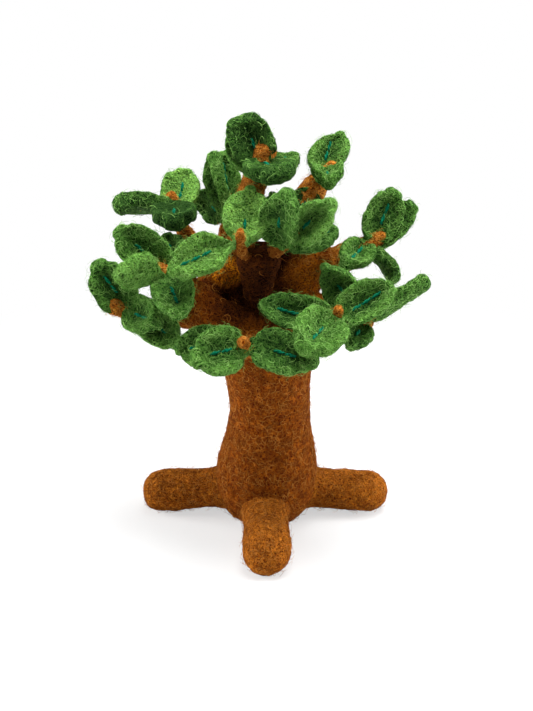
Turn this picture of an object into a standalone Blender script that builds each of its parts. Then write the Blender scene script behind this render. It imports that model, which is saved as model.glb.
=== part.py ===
"""A felt toy tree: a stout trunk on four roots, limbs that bend on their wires, and padded leaves.

Metres, +Z up. The origin is on the ground under the middle of the trunk. The tree is seen from
the front along +Y, so the front root points to -Y and the right root to +X.
"""

import math

import bmesh
import bpy
from mathutils import Matrix, Vector

# The trunk, from the ground to the fork where the limbs leave it
FORK_HEIGHT = 0.080
TRUNK_FOOT_RADIUS = 0.0184
TRUNK_WAIST_RADIUS = 0.0143
TRUNK_SHOULDER_RADIUS = 0.0166
LIMB_ROOT_RADIUS = 0.0110
KNUCKLE_RADIUS = 0.0095

# The crown, measured from the fork: sideways and upwards
CROWN_SPREAD = 0.050
CROWN_RISE = 0.050

# The twigs, at the ball that sits in the limb and at the bare orange end
TWIG_BALL_RADIUS = 0.0036
TWIG_END_RADIUS = 0.0023
NUB_LENGTH = 0.0035

# The leaves: pads of felt folded along a stitched vein
LEAF_LENGTH = 0.020
LEAF_WIDTH = 0.0160
LEAF_THICKNESS = 0.0046

# The roots, which lie on the ground
ROOT_REACH = 0.0394
ROOT_TIP_RADIUS = 0.0077
ROOT_BASE_RADIUS = 0.0086

# The wire inside, and how the felt pieces meet
CORE_WIRE_RADIUS = 0.0015
CORE_WIRE_OFFSET = 0.007
SEAM_GAP = 0.0003
LEAF_CLEARANCE = 0.0008
REST_FLAT = 0.0005
OVERRUN = 0.004

# How far round a ball its socket reaches, short of the equator so that the twig can bend
SOCKET_RIM_DEG = 71.0

# Latitudes of the rings that round off an end, from its rim to near its pole
LIMB_END_DEG = (0, 35, 62, 80)
ROOT_END_DEG = (0, 30, 55, 76)
TWIG_HEEL_DEG = (72, 48, 24, 0)
TWIG_TIP_DEG = (40, 70)

# Counts of faces
TRUNK_SIDES = 24
TUBE_RESOLUTION = 2
BALL_SEGMENTS = 16
LEAF_LENGTHWISE = 3
LEAF_CROSSWISE = 2

# Trunk outline from the top down: share of the named radius, and share of the fork height
TRUNK_OUTLINE_SHARES = (
    (TRUNK_SHOULDER_RADIUS, 0.00, 1.075),
    (TRUNK_SHOULDER_RADIUS, 0.50, 1.055),
    (TRUNK_SHOULDER_RADIUS, 0.86, 0.985),
    (TRUNK_SHOULDER_RADIUS, 1.00, 0.880),
    (TRUNK_SHOULDER_RADIUS, 0.95, 0.760),
    (TRUNK_WAIST_RADIUS, 1.02, 0.640),
    (TRUNK_WAIST_RADIUS, 1.00, 0.540),
    (TRUNK_WAIST_RADIUS, 1.06, 0.420),
    (TRUNK_FOOT_RADIUS, 0.93, 0.270),
    (TRUNK_FOOT_RADIUS, 1.00, 0.160),
    (TRUNK_FOOT_RADIUS, 0.95, 0.080),
    (TRUNK_FOOT_RADIUS, 0.82, 0.030),
    (TRUNK_FOOT_RADIUS, 0.62, 0.000),
    (TRUNK_FOOT_RADIUS, 0.00, 0.000),
)

# Limbs: end point as shares of the crown, shares of the root and knuckle radii, and stations
# along a limb or root as shares of its length
LIMB_START_SHARES = (0.0, 0.0, -0.27)
LIMB_STATION_SHARES = (0.0, 0.35, 0.70)
LIMB_SHARES = {
    "left": ((-0.38, -0.08, 0.08), 1.00, 1.00),
    "right": ((0.36, -0.08, 0.06), 1.00, 1.00),
    "front": ((-0.03, -0.16, -0.10), 0.90, 1.00),
    "centre": ((-0.06, -0.14, 0.47), 0.70, 0.62),
    "back_left": ((-0.18, 0.16, 0.28), 0.90, 0.90),
    "back_right": ((0.18, 0.16, 0.26), 0.90, 0.90),
}

# Twigs: limb, start azimuth and elevation, end point as shares of the crown, shares of the
# ball's and the nub's radius
TWIG_SHARES = {
    "high_left": ("back_left", 175, 25, (-0.65, 0.28, 0.80), 0.95, 1.00),
    "mid_left": ("left", 205, 60, (-0.71, -0.32, 0.51), 0.95, 1.10),
    "far_left": ("left", 180, -5, (-1.04, -0.16, 0.17), 0.95, 1.10),
    "low_front": ("front", -100, 15, (-0.14, -0.70, 0.16), 1.00, 1.05),
    "inner_left": ("centre", -125, 40, (-0.16, -0.40, 0.80), 0.85, 0.85),
    "inner_right": ("centre", -28, 40, (0.21, -0.28, 0.75), 0.85, 0.90),
    "front_right": ("right", -76, 2, (0.48, -0.54, 0.32), 1.00, 1.00),
    "low_right": ("right", -20, -25, (0.73, -0.30, 0.24), 0.95, 1.00),
    "high_right": ("back_right", -15, 22, (0.80, 0.06, 0.59), 1.05, 1.15),
    "top_right": ("back_right", 80, 78, (0.46, 0.24, 1.04), 1.35, 0.90),
    "top_mid": ("back_left", -60, 84, (0.00, 0.16, 1.16), 1.20, 1.20),
    "back_left": ("back_left", 118, 36, (-0.20, 0.34, 0.74), 0.95, 1.00),
}

# Leaves, front ones first. Seat as a share of the nub's length back from the twig's end, azimuth
# and elevation of the leaf, azimuth and elevation that its upper face looks to, length and
# width shares, fold along the vein, curl towards the tip
LEAF_ANGLES_AND_SHARES = {
    "high_left": (
        ("front", 0.9, -88, 15, 0, 90, 1.00, 1.00, 8, -25),
        ("up", 1.4, 82, 38, -90, 50, 0.98, 0.92, 10, 0),
        ("left", 0.9, 178, 12, 90, 60, 1.05, 0.90, 8, -20),
    ),
    "mid_left": (
        ("down", 1.0, -72, -28, -90, 55, 0.98, 0.95, 12, 0),
        ("left", 1.2, -138, 14, 178, 24, 0.98, 0.95, 10, 0),
        ("up", 1.4, 172, 40, -90, 30, 1.12, 0.90, 12, 0),
        ("right", 1.4, 50, 12, -90, 60, 0.90, 0.85, 14, 0),
        ("back", 2.2, 105, 32, -90, 40, 0.90, 0.75, 10, 0),
    ),
    "far_left": (
        ("right", 1.2, -48, 3, -110, 40, 1.00, 0.95, 16, 0),
        ("up", 1.4, 178, 60, -90, 20, 1.05, 1.00, 18, 0),
        ("back", 2.0, 145, 32, -90, 40, 1.05, 0.95, 8, 0),
        ("down", 2.2, -38, -20, -90, 35, 1.05, 0.85, 10, 0),
    ),
    "low_front": (
        ("right", 1.2, -10, -9, -100, 45, 1.22, 1.05, 16, 0),
        ("left", 1.2, -160, -7, -80, 40, 0.95, 1.10, 12, 0),
        ("back", 2.2, 170, -5, -90, 30, 1.25, 1.00, 8, 0),
    ),
    "inner_left": (
        ("left", 1.3, -155, -12, -85, 50, 1.38, 1.00, 18, 0),
        ("right", 2.1, 78, 42, -90, 40, 1.10, 0.92, 12, 0),
    ),
    "inner_right": (
        ("right", 1.1, -6, 44, -90, 20, 1.05, 1.00, 35, 0),
        ("up", 2.2, -92, 72, -120, 10, 1.12, 0.80, 14, -10),
        ("back", 2.2, 20, 8, -90, 60, 1.05, 0.70, 10, 0),
        ("far", 2.4, 100, 45, -90, 40, 1.00, 0.70, 10, 0),
    ),
    "front_right": (
        ("left", 1.1, -124, -7, -90, 45, 1.05, 1.00, 14, 0),
        ("right", 1.3, 20, 22, -100, 40, 1.15, 1.00, 22, 0),
        ("back", 1.6, -175, 17, -90, 35, 1.30, 0.85, 14, 0),
    ),
    "low_right": (
        ("right", 1.0, 3, 34, 90, 55, 1.22, 0.82, 6, 0),
        ("left", 1.5, -178, 56, -98, 12, 1.25, 0.90, 12, 0),
        ("down", 1.7, -114, -8, -90, 55, 0.74, 0.70, 10, 0),
    ),
    "high_right": (
        ("up", 1.2, 35, 60, -80, 25, 1.05, 0.90, 12, 0),
        ("left", 1.2, -130, -15, -90, 52, 0.80, 0.90, 12, 0),
        ("down", 1.6, -12, -40, 28, 42, 0.85, 0.80, 8, 0),
        ("back", 1.8, 30, 30, -80, 40, 1.20, 0.90, 10, 0),
    ),
    "top_right": (
        ("front", 0.9, -88, 4, 0, 90, 0.80, 0.95, 42, 6),
        ("up", 1.4, 70, 48, -100, 40, 0.95, 0.95, 14, 0),
        ("down", 2.4, -130, -38, 0, 60, 0.75, 0.75, 10, 0),
    ),
    "top_mid": (
        ("front", 1.2, -66, 8, 0, 90, 0.80, 1.12, 6, -10),
        ("left", 1.2, 150, 72, -90, 10, 0.91, 1.08, 14, 0),
        ("back", 2.0, 125, 42, -90, 50, 0.95, 0.95, 10, 0),
        ("right", 1.6, 35, 4, 0, 90, 0.85, 0.90, 8, 0),
    ),
    "back_left": (
        ("up", 1.2, 160, 65, -150, 10, 1.20, 0.80, 30, -15),
        ("back", 1.6, 100, 54, -90, 40, 1.28, 0.80, 14, 0),
        ("left", 1.4, 145, 25, -110, -10, 0.85, 0.80, 12, 0),
    ),
}

# Half-width of a leaf from base to tip, as shares of its half-width
LEAF_OUTLINE_SHARES = (0.34, 0.98, 1.00, 0.42)
LEAF_STATION_SHARES = (0.00, 0.36, 0.72, 1.00)

# Thickness along a twig from its ball to its end, as shares between the two radii
TWIG_STATION_SHARES = (0.12, 0.30, 0.50, 0.70, 0.88, 1.00)
TWIG_BOW_SHARE = 0.45

# Roots: where they point, and where they start as shares of the foot's and the root's radius
ROOT_AZIMUTHS = {"front": -91, "right": 0, "back": 88, "left": 180}
ROOT_START_SHARE = 0.5
ROOT_RISE_SHARE = 1.25

# The core wire's bend above the foot, as shares of the fork's height and of the wire's offset
CORE_BEND_SHARES = (0.3, 0.5)

# Points nearer than this share of a seam are one point
WELD_SHARE = 0.01

# Felt colours and roughness
TRUNK_BROWN = (0.235, 0.085, 0.020)
ROOT_BROWN = (0.215, 0.070, 0.018)
TWIG_ORANGE = (0.400, 0.130, 0.020)
LEAF_GREEN = (0.060, 0.170, 0.045)
WIRE_GREY = (0.420, 0.410, 0.400)
FELT_ROUGHNESS = 0.95
WIRE_ROUGHNESS = 0.35


def clear_scene():
    for item in list(bpy.data.objects):
        bpy.data.objects.remove(item)


def new_collection(name):
    group = bpy.data.collections.new(name)
    bpy.context.scene.collection.children.link(group)
    return group


clear_scene()
TREE = new_collection("felt_tree")
CUTTERS = new_collection("cutters")
PLANNED_CUTS = []


def new_material(name, colour, roughness, metallic):
    material = bpy.data.materials.new(name)
    material.use_nodes = True
    shader = material.node_tree.nodes["Principled BSDF"]
    shader.inputs["Base Color"].default_value = (*colour, 1.0)
    shader.inputs["Roughness"].default_value = roughness
    shader.inputs["Metallic"].default_value = metallic
    return material


def heading(azimuth, elevation):
    """Unit vector of a compass angle and an angle above the horizon, in degrees."""
    turn = math.radians(azimuth)
    rise = math.radians(elevation)
    return Vector((math.cos(rise) * math.cos(turn), math.cos(rise) * math.sin(turn), math.sin(rise)))


def crown_point(shares):
    """A place in the crown from its shares of the crown's spread and rise."""
    across, deep, high = shares
    return Vector((across * CROWN_SPREAD, deep * CROWN_SPREAD, FORK_HEIGHT + high * CROWN_RISE))


def add_object(name, mesh, group, parent=None):
    made = bpy.data.objects.new(name, mesh)
    group.objects.link(made)
    made.parent = parent
    if group is CUTTERS:
        made.hide_render = True
        made.display_type = "WIRE"
    return made


def add_pivot(name, place):
    pivot = bpy.data.objects.new(name, None)
    pivot.location = place
    TREE.objects.link(pivot)
    return pivot


def tube_mesh(name, stations):
    """A closed round tube through (place, radius) stations."""
    curve = bpy.data.curves.new(name, "CURVE")
    curve.dimensions = "3D"
    curve.bevel_depth = 1.0
    curve.bevel_resolution = TUBE_RESOLUTION
    curve.use_fill_caps = True
    spline = curve.splines.new("POLY")
    spline.points.add(len(stations) - 1)
    for point, (place, radius) in zip(spline.points, stations):
        point.co = (*place, 1.0)
        point.radius = radius
    source = bpy.data.objects.new(name, curve)
    CUTTERS.objects.link(source)
    evaluated = source.evaluated_get(bpy.context.evaluated_depsgraph_get())
    mesh = bpy.data.meshes.new_from_object(evaluated)
    bpy.data.objects.remove(source)
    weld(mesh)
    mesh.name = name
    return mesh


def weld(mesh):
    work = bmesh.new()
    work.from_mesh(mesh)
    bmesh.ops.remove_doubles(work, verts=work.verts, dist=SEAM_GAP * WELD_SHARE)
    work.to_mesh(mesh)
    work.free()


def smooth(item):
    item.data.shade_smooth()


def plan_cut(item, cutters, operation="DIFFERENCE"):
    """Keeps a cut for the end, when every curve has been turned into a mesh."""
    PLANNED_CUTS.append((item, cutters, operation))


def cut(item, cutters, operation):
    """Cuts or joins several forms in one step, which keeps their crossings clean."""
    group = bpy.data.collections.new(operation.lower() + "_" + item.name)
    CUTTERS.children.link(group)
    for cutter in cutters:
        group.objects.link(cutter)
    change = item.modifiers.new(group.name, "BOOLEAN")
    change.operation = operation
    change.operand_type = "COLLECTION"
    change.collection = group
    change.solver = "EXACT"


def round_end(place, direction, radius, degrees):
    """Stations that close a tube with a round end, from its rim towards its pole."""
    stations = []
    for angle in degrees:
        along = direction * (radius * math.sin(math.radians(angle)))
        stations.append((place + along, radius * math.cos(math.radians(angle))))
    return stations


def knuckle(limb):
    """Centre and radius of the round end of a limb."""
    shares, _, radius_share = LIMB_SHARES[limb]
    return crown_point(shares), KNUCKLE_RADIUS * radius_share


def limb_stations(limb):
    centre, radius = knuckle(limb)
    start = crown_point(LIMB_START_SHARES)
    direction = (centre - start).normalized()
    root = LIMB_ROOT_RADIUS * LIMB_SHARES[limb][1]
    stations = []
    for share in LIMB_STATION_SHARES:
        stations.append((start.lerp(centre, share), root * (1 - share) + radius * share))
    return stations + round_end(centre, direction, radius, LIMB_END_DEG)


def twig_line(twig):
    """Pivot, start direction, bow point and end of a twig, and the radius of its ball."""
    limb, azimuth, elevation, end_shares, ball_share, _ = TWIG_SHARES[twig]
    centre, limb_radius = knuckle(limb)
    ball = TWIG_BALL_RADIUS * ball_share
    socket = ball + SEAM_GAP
    lean = socket * math.cos(math.radians(SOCKET_RIM_DEG))
    sink = socket * math.sin(math.radians(SOCKET_RIM_DEG))
    direction = heading(azimuth, elevation)
    pivot = centre + direction * (lean + math.sqrt(limb_radius**2 - sink**2))
    end = crown_point(end_shares)
    bow = pivot + direction * ((end - pivot).length * TWIG_BOW_SHARE)
    return pivot, direction, bow, end, ball


def along_twig(twig, share):
    pivot, _, bow, end, _ = twig_line(twig)
    return pivot * (1 - share) ** 2 + bow * (2 * share * (1 - share)) + end * share**2


def leaf_seat(twig, leaf):
    """The place on a twig's axis where a leaf starts."""
    pivot, _, _, end, _ = twig_line(twig)
    return along_twig(twig, 1 - NUB_LENGTH * leaf[1] / (end - pivot).length)


def twig_stations(twig, grow=0.0):
    """Stations of a twig from the back of its ball to its nub, measured from its pivot."""
    pivot, direction, bow, end, ball = twig_line(twig)
    heel = round_end(Vector(), -direction, ball + grow, TWIG_HEEL_DEG)
    nub = TWIG_END_RADIUS * TWIG_SHARES[twig][5]
    shaft = []
    for share in TWIG_STATION_SHARES:
        radius = ball + (nub - ball) * share
        shaft.append((along_twig(twig, share) - pivot, radius + grow))
    tip = round_end(end - pivot, (end - bow).normalized(), nub + grow, TWIG_TIP_DEG)
    return heel + shaft + tip


def trunk_profile(name, grow=0.0):
    """Half outline of the trunk, grown for a cutter, that a Screw turns round Z."""
    work = bmesh.new()
    corners = []
    for radius, radius_share, height_share in TRUNK_OUTLINE_SHARES:
        place = Vector((radius * radius_share, 0.0, FORK_HEIGHT * height_share))
        if radius_share:
            place.x += grow
        corners.append(work.verts.new(place))
    for upper, lower in zip(corners, corners[1:]):
        work.edges.new((upper, lower))
    mesh = bpy.data.meshes.new(name)
    work.to_mesh(mesh)
    work.free()
    return mesh


def turn(item):
    screw = item.modifiers.new("turned", "SCREW")
    screw.axis = "Z"
    screw.steps = TRUNK_SIDES
    screw.render_steps = TRUNK_SIDES
    screw.use_merge_vertices = True
    screw.merge_threshold = SEAM_GAP * WELD_SHARE
    screw.use_smooth_shade = True


def make_trunk(material):
    trunk = add_object("trunk", trunk_profile("trunk"), TREE)
    turn(trunk)
    plan_cut(trunk, [limb_form(limb) for limb in LIMB_SHARES], "UNION")
    hollows = [socket_cutter(twig) for twig in TWIG_SHARES]
    bore = tube_mesh("core_bore", core_stations(SEAM_GAP, OVERRUN))
    hollows.append(add_object("core_bore", bore, CUTTERS))
    plan_cut(trunk, hollows)
    trunk.data.materials.append(material)


def limb_form(limb):
    return add_object("limb_" + limb, tube_mesh(limb, limb_stations(limb)), CUTTERS)


def socket_cutter(twig):
    pivot, _, _, _, ball = twig_line(twig)
    name = "socket_" + twig
    work = bmesh.new()
    bmesh.ops.create_uvsphere(
        work,
        u_segments=BALL_SEGMENTS,
        v_segments=BALL_SEGMENTS // 2,
        radius=ball + SEAM_GAP,
        matrix=Matrix.Translation(pivot),
    )
    mesh = bpy.data.meshes.new(name)
    work.to_mesh(mesh)
    work.free()
    return add_object(name, mesh, CUTTERS)


def core_stations(grow, overrun):
    """Stations of the core wire, from behind the trunk's foot up into the centre limb."""
    centre = knuckle("centre")[0]
    fork = crown_point(LIMB_START_SHARES)
    rise = (centre - fork).normalized()
    foot = Vector((0.0, CORE_WIRE_OFFSET, SEAM_GAP))
    bend_height, bend_offset = CORE_BEND_SHARES
    bend = Vector((0.0, CORE_WIRE_OFFSET * bend_offset, FORK_HEIGHT * bend_height))
    foot -= (bend - foot).normalized() * overrun
    top = centre + rise * grow
    width = CORE_WIRE_RADIUS + grow
    return [(foot, width), (bend, width), (fork, width), (fork.lerp(top, 0.5), width), (top, width)]


def make_core_wire(material):
    wire = add_object("core_wire", tube_mesh("core_wire", core_stations(0.0, 0.0)), TREE)
    wire.data.materials.append(material)
    smooth(wire)


def ground_cutter():
    """A slab whose top is the ground."""
    work = bmesh.new()
    bmesh.ops.create_cube(work, size=1.0)
    width = (ROOT_REACH + ROOT_TIP_RADIUS + OVERRUN) * 2
    depth = ROOT_BASE_RADIUS
    slab = Matrix.Translation((0.0, 0.0, -depth / 2)) @ Matrix.Diagonal((width, width, depth, 1.0))
    bmesh.ops.transform(work, matrix=slab, verts=work.verts)
    mesh = bpy.data.meshes.new("ground")
    work.to_mesh(mesh)
    work.free()
    return add_object("ground", mesh, CUTTERS)


def make_roots(material):
    foot = add_object("trunk_clearance", trunk_profile("trunk_clearance", SEAM_GAP), CUTTERS)
    turn(foot)
    ground = ground_cutter()
    for side, azimuth in ROOT_AZIMUTHS.items():
        make_root("root_" + side, azimuth, foot, ground, material)


def make_root(name, azimuth, foot, ground, material):
    """A blunt root that slopes to the ground, trimmed to the trunk and flat below."""
    outward = heading(azimuth, 0)
    start = outward * (TRUNK_FOOT_RADIUS * ROOT_START_SHARE)
    start.z = ROOT_BASE_RADIUS * ROOT_RISE_SHARE
    end = outward * ROOT_REACH + Vector((0.0, 0.0, ROOT_TIP_RADIUS - REST_FLAT))
    slope = (end - start).normalized()
    stations = []
    for share in LIMB_STATION_SHARES:
        radius = ROOT_BASE_RADIUS * (1 - share) + ROOT_TIP_RADIUS * share
        stations.append((start.lerp(end, share), radius))
    stations += round_end(end, slope, ROOT_TIP_RADIUS, ROOT_END_DEG)
    root = add_object(name, tube_mesh(name, stations), TREE)
    plan_cut(root, [foot, ground])
    root.data.materials.append(material)
    smooth(root)


def leaf_cage(name, leaf, grow=0.0):
    """The flat sheet of a leaf, folded along its vein and curled along its length."""
    length_share, width_share, fold, curl = leaf[6:]
    length = LEAF_LENGTH * length_share
    half = LEAF_WIDTH * width_share / 2 + grow
    work = bmesh.new()
    bmesh.ops.create_grid(work, x_segments=LEAF_LENGTHWISE, y_segments=LEAF_CROSSWISE, size=1.0)
    for vert in work.verts:
        station = round((vert.co.x + 1) / 2 * LEAF_LENGTHWISE)
        share = LEAF_STATION_SHARES[station]
        across = vert.co.y * half * LEAF_OUTLINE_SHARES[station]
        along = length * share + grow * (2 * share - 1)
        lift = abs(across) * math.sin(math.radians(fold))
        vert.co = curled(along, across * math.cos(math.radians(fold)), lift, curl, length)
    mesh = bpy.data.meshes.new(name)
    work.to_mesh(mesh)
    work.free()
    return mesh


def curled(along, across, lift, curl, length):
    """A point of the sheet after it is bent evenly by the curl angle."""
    bend = math.radians(curl) * along / length
    if curl:
        radius = length / math.radians(curl)
        return Vector(((radius - lift) * math.sin(bend), across, radius - (radius - lift) * math.cos(bend)))
    return Vector((along, across, lift))


def leaf_frame(leaf):
    """Turns X to the leaf's length and Z as near as can be to where its upper face looks."""
    azimuth, elevation, look_azimuth, look_elevation = leaf[2:6]
    length = heading(azimuth, elevation)
    look = heading(look_azimuth, look_elevation)
    face = (look - length * look.dot(length)).normalized()
    side = face.cross(length)
    return Matrix((length, side, face)).transposed().to_4x4()


def add_leaf_form(name, leaf, seat, group, pivot, grow=0.0):
    pad = add_object(name, leaf_cage(name, leaf, grow), group, pivot)
    pad.matrix_local = Matrix.Translation(seat) @ leaf_frame(leaf)
    shell = pad.modifiers.new("thickness", "SOLIDIFY")
    shell.thickness = LEAF_THICKNESS + 2 * grow
    shell.offset = 0.0
    round_off = pad.modifiers.new("rounding", "SUBSURF")
    round_off.levels = 1
    round_off.render_levels = 1
    return pad


def make_branch(twig, twig_material, leaf_material):
    """A twig and its leaves, all hung from an empty at the twig's pivot."""
    place = twig_line(twig)[0]
    pivot = add_pivot("pivot_" + twig, place)
    branch = add_object("branch_" + twig, tube_mesh("branch_" + twig, twig_stations(twig)), TREE, pivot)
    branch.data.materials.append(twig_material)
    smooth(branch)
    name = "clearance_" + twig
    neighbours = [add_object(name, tube_mesh(name, twig_stations(twig, SEAM_GAP)), CUTTERS, pivot)]
    for leaf in LEAF_ANGLES_AND_SHARES[twig]:
        seat = leaf_seat(twig, leaf) - place
        name = "leaf_" + twig + "_" + leaf[0]
        pad = add_leaf_form(name, leaf, seat, TREE, pivot)
        plan_cut(pad, list(neighbours))
        pad.data.materials.append(leaf_material)
        smooth(pad)
        neighbours.append(add_leaf_form("clearance_" + name, leaf, seat, CUTTERS, pivot, LEAF_CLEARANCE))


def make_tree():
    trunk_felt = new_material("trunk_felt", TRUNK_BROWN, FELT_ROUGHNESS, 0.0)
    root_felt = new_material("root_felt", ROOT_BROWN, FELT_ROUGHNESS, 0.0)
    twig_felt = new_material("twig_felt", TWIG_ORANGE, FELT_ROUGHNESS, 0.0)
    leaf_felt = new_material("leaf_felt", LEAF_GREEN, FELT_ROUGHNESS, 0.0)
    wire_steel = new_material("wire_steel", WIRE_GREY, WIRE_ROUGHNESS, 1.0)
    make_trunk(trunk_felt)
    make_roots(root_felt)
    make_core_wire(wire_steel)
    for twig in TWIG_SHARES:
        make_branch(twig, twig_felt, leaf_felt)
    for item, cutters, operation in PLANNED_CUTS:
        cut(item, cutters, operation)


make_tree()
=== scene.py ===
# %% [markdown]
# # A felt tree whose branches bend
# The real thing is a play tree of needle-felted wool, about fifteen centimetres high: a brown
# trunk on four roots, twelve short branches with a wire inside, and round each branch's orange
# end a whorl of thick green leaf pads with a line of stitches. The solids already hold the sizes
# and the joints. This notebook dresses them: it loads them as a fixed frame, builds the wool
# round them, and never changes their places.

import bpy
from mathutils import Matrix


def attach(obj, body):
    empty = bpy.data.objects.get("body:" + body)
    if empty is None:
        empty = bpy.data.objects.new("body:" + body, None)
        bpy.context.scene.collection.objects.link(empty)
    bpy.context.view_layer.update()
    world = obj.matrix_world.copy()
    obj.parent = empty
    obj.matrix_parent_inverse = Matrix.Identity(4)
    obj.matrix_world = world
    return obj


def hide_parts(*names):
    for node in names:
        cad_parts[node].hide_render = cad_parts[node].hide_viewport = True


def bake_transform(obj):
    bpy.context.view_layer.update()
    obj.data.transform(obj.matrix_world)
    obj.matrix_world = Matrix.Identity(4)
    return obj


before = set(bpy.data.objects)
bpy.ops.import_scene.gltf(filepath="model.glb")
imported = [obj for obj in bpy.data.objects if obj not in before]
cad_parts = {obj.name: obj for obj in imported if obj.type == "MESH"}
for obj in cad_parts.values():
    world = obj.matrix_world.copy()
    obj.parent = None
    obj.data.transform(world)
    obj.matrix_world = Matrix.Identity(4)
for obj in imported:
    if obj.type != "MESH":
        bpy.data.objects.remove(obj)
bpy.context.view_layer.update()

# %% Modules
import math

import bpy
import numpy as np
from mathutils import Matrix, Vector, noise
from mathutils.bvhtree import BVHTree

MM = 0.001
BASE = "base"

# %% [markdown]
# ## Where the branches and leaves are
# Every branch leaves a limb of the trunk at a ball, bows, and ends in a bare nub, and its leaves
# start a little behind the nub. The same few tables that placed the solids place the wool, so
# that each skin lies on its own solid. Places in the crown are shares of its spread and rise, and
# directions are a compass angle and a rise in degrees, which are easy to read off a real branch.

# %% Sizes in metres
FORK_HEIGHT = 0.08
FOOT_RADIUS = 0.0184
WAIST_RADIUS = 0.0143
SHOULDER_RADIUS = 0.0166
LIMB_ROOT_RADIUS = 0.011
KNUCKLE_RADIUS = 0.0095
CROWN_SPREAD = 0.05
CROWN_RISE = 0.05
BALL_RADIUS = 0.0036
NUB_RADIUS = 0.0023
NUB_LENGTH = 0.0035
LEAF_LENGTH = 0.02
LEAF_WIDTH = 0.016
LEAF_THICKNESS = 0.0046
ROOT_REACH = 0.0394
ROOT_TIP_RADIUS = 0.0077
ROOT_BASE_RADIUS = 0.0086
SEAM_GAP = 0.0003
SOCKET_RIM_DEG = 71.0
TWIG_BOW = 0.45

# %% Limbs: end point, root share and knuckle share
LIMB_START = (0.0, 0.0, -0.27)
LIMBS = {
    "left": ((-0.38, -0.08, 0.08), 1.0, 1.0),
    "right": ((0.36, -0.08, 0.06), 1.0, 1.0),
    "front": ((-0.03, -0.16, -0.1), 0.9, 1.0),
    "centre": ((-0.06, -0.14, 0.47), 0.7, 0.62),
    "back_left": ((-0.18, 0.16, 0.28), 0.9, 0.9),
    "back_right": ((0.18, 0.16, 0.26), 0.9, 0.9),
}

# %% Branches: limb, start direction, end point, ball share and nub share
TWIGS = {
    "high_left": ("back_left", 175, 25, (-0.65, 0.28, 0.8), 0.95, 1.0),
    "mid_left": ("left", 205, 60, (-0.71, -0.32, 0.51), 0.95, 1.1),
    "far_left": ("left", 180, -5, (-1.04, -0.16, 0.17), 0.95, 1.1),
    "low_front": ("front", -100, 15, (-0.14, -0.7, 0.16), 1.0, 1.05),
    "inner_left": ("centre", -125, 40, (-0.16, -0.4, 0.8), 0.85, 0.85),
    "inner_right": ("centre", -28, 40, (0.21, -0.28, 0.75), 0.85, 0.9),
    "front_right": ("right", -76, 2, (0.48, -0.54, 0.32), 1.0, 1.0),
    "low_right": ("right", -20, -25, (0.73, -0.3, 0.24), 0.95, 1.0),
    "high_right": ("back_right", -15, 22, (0.8, 0.06, 0.59), 1.05, 1.15),
    "top_right": ("back_right", 80, 78, (0.46, 0.24, 1.04), 1.35, 0.9),
    "top_mid": ("back_left", -60, 84, (0.0, 0.16, 1.16), 1.2, 1.2),
    "back_left": ("back_left", 118, 36, (-0.2, 0.34, 0.74), 0.95, 1.0),
}

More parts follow.
